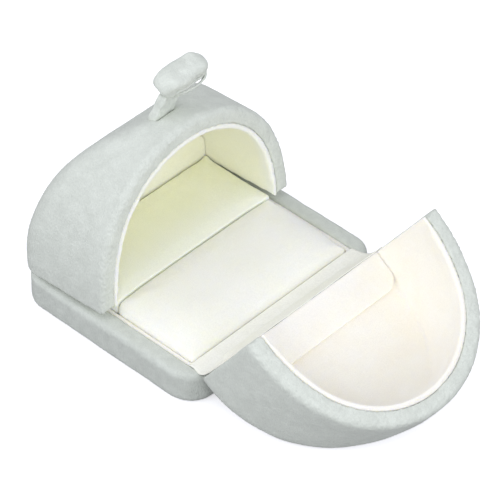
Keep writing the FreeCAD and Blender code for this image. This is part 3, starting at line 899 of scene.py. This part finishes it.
@dataclass
class HalfLid:
    """One half dome: velvet skin, lining strip, lining panel and the card over the hinge leaf."""

    wardrobe: Wardrobe
    end: End
    voxel: float = 0.36
    rounds: int = 3
    lining_voxel: float = 0.34
    lining_rounds: int = 10
    panel_grow: float = 1.016
    rim_gap: float = 0.25
    foot_round: float = 1.3
    tuft: float = 0.2
    tuft_grain: float = 0.6
    tuft_band: tuple[float, float] = (0.6, 2.2)
    bead: float = 0.42
    bead_start: float = 0.4
    bead_depth: float = 5.0
    bead_foot: tuple[float, float] = (2.5, 5.0)
    card_rounds: int = 2

    @property
    def pin(self) -> Pin:
        """The lid's hinge axis."""
        return Pin.of(self.end)

    @property
    def body(self) -> str:
        """The body that the half lid rides on."""
        return self.end.word + "_lid"

    def skin(self) -> bpy.types.Object:
        """The velvet over the dome and its rim.

        Returns:
            The piece.
        """
        node = self.body + "_velvet"
        piece = soften(copy_nodes(self.body + "_velvet_skin", [node]), self.voxel, self.rounds)
        self.round_foot(piece)
        raise_pile(piece, coarse=(0.12, 6.0), fine=(0.08, 0.45), seed=7.0 * self.end.value)
        self.tuft_rim(piece)
        return put_in_place(piece, self.wardrobe.velvet, "velvet", self.body, node)

    def place_in_lid(self, points: Points) -> tuple[Points, Points]:
        """How far points lie behind the rim's plane and above the foot's, with the lid shut."""
        shut = self.pin.closed(points)
        return np.abs(shut[:, 1]) - self.rim_gap, shut[:, 2] - self.pin.z

    def round_foot(self, piece: bpy.types.Object) -> None:
        """Rolls the corner where the rim meets the foot.

        Args:
            piece: the skin.
        """
        points = read_points(piece)
        shut = self.pin.closed(points)
        behind, above = self.place_in_lid(points)
        inward = np.stack([self.foot_round - behind, self.foot_round - above], axis=1)
        reach = np.linalg.norm(inward, axis=1)
        sharp = (inward.min(axis=1) > 0) & (reach > self.foot_round)
        share = self.foot_round / reach[sharp, None]
        inward[sharp] *= share
        shut[sharp, 1] = self.end.value * (self.foot_round - inward[sharp, 0] + self.rim_gap)
        shut[sharp, 2] = self.foot_round - inward[sharp, 1] + self.pin.z
        write_points(piece, self.pin.opened_again(shut))

    def tuft_rim(self, piece: bpy.types.Object) -> None:
        """Lets the pile stand up unevenly along the rim, where the cloth turns in.

        Args:
            piece: the skin.
        """
        points = read_points(piece)
        behind, _ = self.place_in_lid(points)
        share = 1 - smooth_step(np.abs(behind), *self.tuft_band)
        heights = self.tuft * share * rough_heights(points, self.tuft_grain, 29.0 + self.end.value)
        write_points(piece, points + read_normals(piece) * heights[:, None])

    def pad_edge(self, piece: bpy.types.Object) -> None:
        """Swells the lining's free edge into a soft bead, clear of the cushion.

        Args:
            piece: the lining.
        """
        points = read_points(piece)
        behind, above = self.place_in_lid(points)
        normals = read_normals(piece)
        share = 1 - smooth_step(behind, self.bead_start, self.bead_depth)
        share *= smooth_step(above, *self.bead_foot)
        inward = np.clip(-normals[:, 0] * np.sign(points[:, 0]), 0, 1)
        # Set on the pin, a direction swings as a point does.
        shut_normals = self.pin.swing(normals + np.array([0, self.pin.y, self.pin.z]), -self.pin.opened)
        downward = np.clip(self.pin.z - shut_normals[:, 2], 0, 1)
        swell = self.bead * share * np.maximum(inward, downward)
        write_points(piece, points + normals * swell[:, None])

    def meet_arch(self, node: str, points: Points) -> Points:
        """Grows the lining panel a little sideways and up, so that it closes against the arch strip.

        Args:
            node: the solid that the points are of.
            points: its points, as they stand at rest.

        Returns:
            The points, moved only where they are the panel's.
        """
        if not node.endswith("panel_lining"):
            return points
        shut = self.pin.closed(points)
        shut[:, 0] *= self.panel_grow
        shut[:, 2] = shut[:, 2].min() + (shut[:, 2] - shut[:, 2].min()) * self.panel_grow
        return self.pin.opened_again(shut)

    def lining(self, part: str, nodes: list[str], rounds: int) -> bpy.types.Object:
        """One soft lining piece in place of its solids.

        Args:
            part: the new piece's name after the lid's.
            nodes: the solids.
            rounds: rounds of smoothing.

        Returns:
            The piece.
        """
        piece = soften(copy_nodes(self.body + "_" + part, nodes, self.meet_arch), self.lining_voxel, rounds)
        self.pad_edge(piece)
        raise_pile(piece, coarse=(0.06, 6.0), fine=(0.03, 0.5), seed=13.0 + self.end.value)
        # Each end's lining has its own painted light or shade.
        return put_in_place(piece, self.wardrobe.flock[self.end], "lining", self.body, *nodes)

    def build(self) -> list[bpy.types.Object]:
        """Makes the half lid's pieces and dresses the shell.

        Returns:
            The pieces.
        """
        dress(frame["nodes"][self.body + "_shell"], self.wardrobe.polystyrene)
        return [self.skin(),
                self.lining("lining", [self.body + "_arch_lining", self.body + "_panel_lining"],
                            self.lining_rounds),
                self.lining("hinge_card_cover", [self.end.word + "_hinge_cover"], self.card_rounds)]


@dataclass
class SpringHinge:
    """The steel of one hinge and the lining strip that hides it."""

    wardrobe: Wardrobe
    end: End
    cloth: float = 0.2
    lie: float = 0.06
    tuck: float = 0.3
    drop: float = 2.0
    foot_reach: float = 5.5
    foot_press: float = 3.0
    rim_bend: float = 0.4
    beside_barrel: float = 0.5
    barrel_end: tuple[float, float] = (0.4, 3.2)
    rise_margin: float = 1.0
    flare: float = 0.7
    flare_start: float = 0.75
    wave: float = 0.08
    wave_grain: float = 4.0
    wave_dip: float = 0.2
    arc_points: int = 12
    across: int = 120
    steps: int = 48
    rounds: int = 4

    def steel(self) -> None:
        """Gives the leaves, the pin and the snap tongues their steel."""
        for part in ("tray_leaf", "lid_leaf", "pin", "snap_spring"):
            dress(frame["nodes"]["%s_hinge_%s" % (self.end.word, part)], self.wardrobe.steel)

    def route(self, radius: float) -> Points:
        """The strip's middle line in the YZ plane, from the cushion's crease to the lid's card.

        Args:
            radius: how far it keeps from the pin.

        Returns:
            Rows of y and z, drawn for the front end.
        """
        pin = Pin.of(self.end)
        low, high = corners(self.end.word + "_rim_cloth")
        inner, outer = sorted((abs(low[1]), abs(high[1])))
        centre = np.array([-abs(pin.y), pin.z])
        top = high[2] - self.cloth / 2
        rim = np.array([self.rim_bend - outer, top + self.lie])
        opened = math.radians(pin.opened * -self.end.value)
        along = np.array([math.cos(opened), math.sin(opened)])
        outward = np.array([math.sin(opened), -math.cos(opened)])
        lift = self.lie + self.cloth / 2
        press = centre + along * self.foot_press + outward * lift
        card = centre + along * self.foot_reach + outward * lift
        start = tangent_angle(rim, centre, radius, 1)
        finish = tangent_angle(press, centre, radius, -1)
        if finish < start:
            start = finish = (start + finish) / 2
        arc = [centre + radius * np.array([math.cos(angle), math.sin(angle)])
               for angle in np.linspace(start, finish, self.arc_points)]
        points = [np.array([-inner + self.cloth / 2, top - self.drop]), np.array([-inner - self.tuck, top]),
                  rim] + arc + [press, card]
        line = ease(even_line(np.array(points), self.steps), self.rounds)
        away = line - centre
        reach = np.linalg.norm(away, axis=1, keepdims=True)
        return centre + away * np.maximum(1, radius / reach)

    def strip(self) -> bpy.types.Object:
        """The strip of lining cloth, glued to the tray's rim and to the lid's foot.

        Returns:
            The piece.
        """
        side = self.end.value
        pin = Pin.of(self.end)
        _, barrel_high = corners(self.end.word + "_hinge_tray_leaf")
        half = corners(self.end.word + "_rim_cloth")[1][0]
        over = self.route(barrel_high[2] - pin.z + self.lie + self.cloth / 2)
        beside = self.route(self.beside_barrel)
        x = np.linspace(-half, half, self.across)
        barrel_from, barrel_to = (barrel_high[0] + past for past in self.barrel_end)
        share = smooth_step(np.abs(x), barrel_from, barrel_to)[:, None, None]
        line = over[None] * (1 - share) + beside[None] * share
        rise = smooth_step(-line[:, :, 0], abs(over[0, 0]) + self.rise_margin, abs(pin.y) - self.rise_margin)
        middle = np.empty((self.across, self.steps, 3))
        reach = self.flare * np.sign(x) * smooth_step(np.abs(x), self.flare_start * half, half)
        middle[:, :, 0] = x[:, None] + rise * reach[:, None]
        middle[:, :, 1] = -side * line[:, :, 0]
        middle[:, :, 2] = line[:, :, 1]
        wave = rough_heights(middle.reshape(-1, 3), self.wave_grain, 21.0 + side).reshape(self.across, -1)
        middle[:, :, 2] += self.wave * np.maximum(wave, -self.wave_dip) * rise
        piece = closed_sheet(self.end.word + "_hinge_strip", middle, self.cloth)
        dress(piece, self.wardrobe.strip)
        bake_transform(piece)
        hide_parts(self.end.word + "_rim_cloth")
        return piece

    def build(self) -> list[bpy.types.Object]:
        """Dresses the steel and makes the strip."""
        self.steel()
        return [self.strip()]


@dataclass
class RibbonPull:
    """The ribbon on the back half lid's crown: a neck that leans and a loop that nods to the front."""

    wardrobe: Wardrobe
    voxel: float = 0.24
    neck_rounds: int = 5
    loop_rounds: int = 12
    nod: float = 24.0
    round_off: float = 0.75
    straight: float = 0.4
    thinning: float = 0.6
    broaden: float = 1.2
    lengthen: float = 1.05
    flatten: float = 0.84
    spread: float = 1.12
    ply: float = 0.5
    ply_width: float = 1.3
    ply_lean: float = 53.0
    ply_along: int = 60
    ply_across: int = 9
    ply_rounds: int = 8
    bow: tuple[tuple[float, float, float], ...] = (
        (1.7, 8.6, 51.0), (2.6, 7.6, 51.4), (4.2, 7.0, 51.6), (5.9, 6.8, 51.7), (7.7, 6.9, 51.7),
        (9.4, 7.2, 51.8), (10.6, 7.9, 52.3), (10.9, 8.8, 53.4))

    def neck(self) -> bpy.types.Object:
        """The two plies that rise from the slit.

        Returns:
            The piece.
        """
        piece = soften(copy_nodes("ribbon_neck", ["strap_neck"]), self.voxel, self.neck_rounds)
        points = read_points(piece)
        middle = points[:, 0].mean()
        points[:, 0] = middle + (points[:, 0] - middle) * self.spread
        write_points(piece, points)
        raise_pile(piece, coarse=(0.35, 2.2), fine=(0.07, 0.4), seed=17.0)
        return piece

    def loop(self) -> bpy.types.Object:
        """The loop, plump, with its front edge bowed down.

        Returns:
            The piece.
        """
        piece = soften(copy_nodes("ribbon_loop", ["strap_loop"]), self.voxel, self.loop_rounds)
        low, high = corners("strap_loop")
        points = read_points(piece)
        middle, size = (low + high) / 2, high - low
        own = points.max(axis=0) - points.min(axis=0)
        size *= [self.lengthen, 1.0, 1.0]
        points = middle + (points - (points.max(axis=0) + points.min(axis=0)) / 2) * size / own
        run = np.abs(points[:, 0] - middle[0]) / (size[0] / 2)
        plump = np.sqrt(1 - self.round_off * np.clip((run - self.straight) / (1 - self.straight), 0, 1) ** 2)
        points[:, 1] = middle[1] + (points[:, 1] - middle[1]) * plump * self.broaden
        points[:, 2] = middle[2] + (points[:, 2] - middle[2]) * ((1 - self.thinning) + self.thinning * plump)
        points[:, 2] = high[2] + (points[:, 2] - high[2]) * self.flatten
        points[:, 1:] = turn_about_x(points[:, 1:], middle[1:], self.nod)
        write_points(piece, points)
        raise_pile(piece, coarse=(0.4, 3.2), fine=(0.08, 0.4), seed=19.0)
        return piece

    def lower_ply(self) -> bpy.types.Object:
        """The loop's thin lower ply, on edge, bowed clear of the plump one.

        Returns:
            The piece.
        """
        line = ease(even_line(np.array(self.bow), self.ply_along), self.ply_rounds)
        lean = math.radians(self.ply_lean)
        width = np.array([0, math.cos(lean), -math.sin(lean)]) * self.ply_width
        middle = line[:, None] + np.linspace(-0.5, 0.5, self.ply_across)[None, :, None] * width
        piece = closed_sheet("ribbon_lower_ply", middle, self.ply)
        raise_pile(piece, coarse=(0.1, 1.6), fine=(0.06, 0.4), seed=23.0)
        return piece

    def build(self) -> list[bpy.types.Object]:
        """Makes the neck and the loop's two plies, and dresses the anchor.

        Returns:
            The pieces.
        """
        pieces = [self.neck(), self.loop(), self.lower_ply()]
        for piece, node in zip(pieces, ("strap_neck", "strap_loop", "strap_loop")):
            put_in_place(piece, self.wardrobe.ribbon, "ribbon", "back_lid", node)
        dress(frame["nodes"]["strap_anchor"], self.wardrobe.steel)
        return pieces


# ---------- Studio ----------


@dataclass(frozen=True)
class SoftBox:
    """A square area lamp; its place and side are in millimetres and its power in watts."""

    name: str
    place: tuple[float, float, float]
    power: float
    side: float = 420.0

    def hang(self, aim: Vector, colour: str) -> None:
        """Hangs the lamp so that it faces a point.

        Args:
            aim: the point, in millimetres.
            colour: the light's colour.
        """
        data = bpy.data.lights.new(self.name, "AREA")
        data.shape = "SQUARE"
        data.size = self.side * MM
        data.energy = self.power
        data.color = linear(colour)[:3]
        lamp = bpy.data.objects.new(self.name, data)
        lamp.location = Vector(self.place) * MM
        lamp.rotation_euler = (aim - Vector(self.place)).to_track_quat("-Z", "Y").to_euler()
        bpy.context.scene.collection.objects.link(lamp)


SOFT_BOXES = (
    SoftBox("left", (-530.0, 40.0, 370.0), 1.05),
    SoftBox("front", (100.0, -620.0, 300.0), 0.8),
    SoftBox("front_left", (-400.0, -500.0, 380.0), 1.8),
    SoftBox("front_right", (480.0, -400.0, 400.0), 0.4),
    SoftBox("back", (-300.0, 480.0, 500.0), 0.7),
)


@dataclass
class Studio:
    """A white table under soft light, seen from the front left and above."""

    azimuth: float = -46.5
    elevation: float = 42.1
    distance: float = 741.3
    lens: float = 237.0
    sensor: float = 36.0
    nearest: float = 10.0
    aim: tuple[float, float, float] = (0.0, -10.0, 15.0)
    aim_right: float = 4.24
    aim_up: float = 1.91
    floor_size: float = 4000.0
    daylight: str = "#F3F4FF"
    ambience: float = 0.68

    def camera(self) -> None:
        """Sets the camera on its target from the azimuth and elevation."""
        turn, tilt = math.radians(self.azimuth), math.radians(self.elevation)
        back = Vector((math.sin(turn) * math.cos(tilt), -math.cos(turn) * math.cos(tilt), math.sin(tilt)))
        right = Vector((math.cos(turn), math.sin(turn), 0.0))
        up = back.cross(right)
        target = Vector(self.aim) + right * self.aim_right + up * self.aim_up
        data = bpy.data.cameras.new("camera")
        data.sensor_width = self.sensor
        data.lens = self.lens
        data.clip_start = self.nearest * MM
        camera = bpy.data.objects.new("camera", data)
        bpy.context.scene.collection.objects.link(camera)
        facing = Matrix((right, up, back)).transposed().to_4x4()
        camera.matrix_world = Matrix.Translation((target + back * self.distance) * MM) @ facing
        bpy.context.scene.camera = camera

    def world(self) -> None:
        """Lights evenly from all round, while the camera, gloss and glass see plain white."""
        world = bpy.data.worlds.new("studio")
        world.use_nodes = True
        bpy.context.scene.world = world
        tree = world.node_tree
        tree.nodes.clear()
        path = add_node(tree, "ShaderNodeLightPath")
        seen = add_node(tree, "ShaderNodeMath", {
            0: path.outputs["Is Camera Ray"], 1: path.outputs["Is Glossy Ray"]}, operation="MAXIMUM")
        seen = add_node(tree, "ShaderNodeMath", {
            0: seen.outputs[0], 1: path.outputs["Is Transmission Ray"]}, operation="MAXIMUM")
        glow = add_node(tree, "ShaderNodeBackground", {
            "Color": linear(self.daylight), "Strength": self.ambience})
        white = add_node(tree, "ShaderNodeBackground", {"Color": linear("#FFFFFF"), "Strength": 1.0})
        mixed = add_node(tree, "ShaderNodeMixShader", {
            0: seen.outputs[0], 1: glow.outputs[0], 2: white.outputs[0]})
        add_node(tree, "ShaderNodeOutputWorld", {"Surface": mixed.outputs[0]})

    def floor(self) -> None:
        """The white table, with a little glow of its own for the camera so that it stays white."""
        half = self.floor_size / 2
        table = mesh_piece("table", np.array([[-half, -half, 0], [half, -half, 0], [half, half, 0],
                                              [-half, half, 0]]), [[0, 1, 2, 3]])
        material, tree = new_material("table_white_laminate")
        matt = add_node(tree, "ShaderNodeBsdfDiffuse", {"Color": linear("#F4F4F4")})
        dim = add_node(tree, "ShaderNodeBsdfDiffuse", {"Color": linear("#808080")})
        glow = add_node(tree, "ShaderNodeEmission", {"Color": linear("#FFFFFF"), "Strength": 0.5})
        lit = add_node(tree, "ShaderNodeAddShader", {0: matt.outputs[0], 1: glow.outputs[0]})
        path = add_node(tree, "ShaderNodeLightPath")
        mixed = add_node(tree, "ShaderNodeMixShader", {
            0: path.outputs["Is Camera Ray"], 1: dim.outputs[0], 2: lit.outputs[0]})
        close_material(tree, mixed.outputs[0])
        dress(table, material)

    def build(self) -> None:
        """Sets the camera, the lamps, the world and the table."""
        bpy.context.scene.view_settings.view_transform = "Standard"
        self.camera()
        self.world()
        for lamp in SOFT_BOXES:
            lamp.hang(Vector(self.aim), self.daylight)
        self.floor()


def main() -> None:
    """Builds the box, piece by piece, and the studio round it."""
    logging.basicConfig(level=logging.INFO, format="%(name)s: %(message)s")
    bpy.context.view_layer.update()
    wardrobe = Wardrobe.filled()
    groups = [Tray(wardrobe), RibbonPull(wardrobe)]
    for end in End:
        groups += [RingCushion(wardrobe, end), HalfLid(wardrobe, end), SpringHinge(wardrobe, end)]
    for group in groups:
        for piece in group.build():
            LOG.info("%s: %s, %d faces", type(group).__name__, piece.name, len(piece.data.polygons))
    Studio().build()


if __name__ == "__main__":
    main()
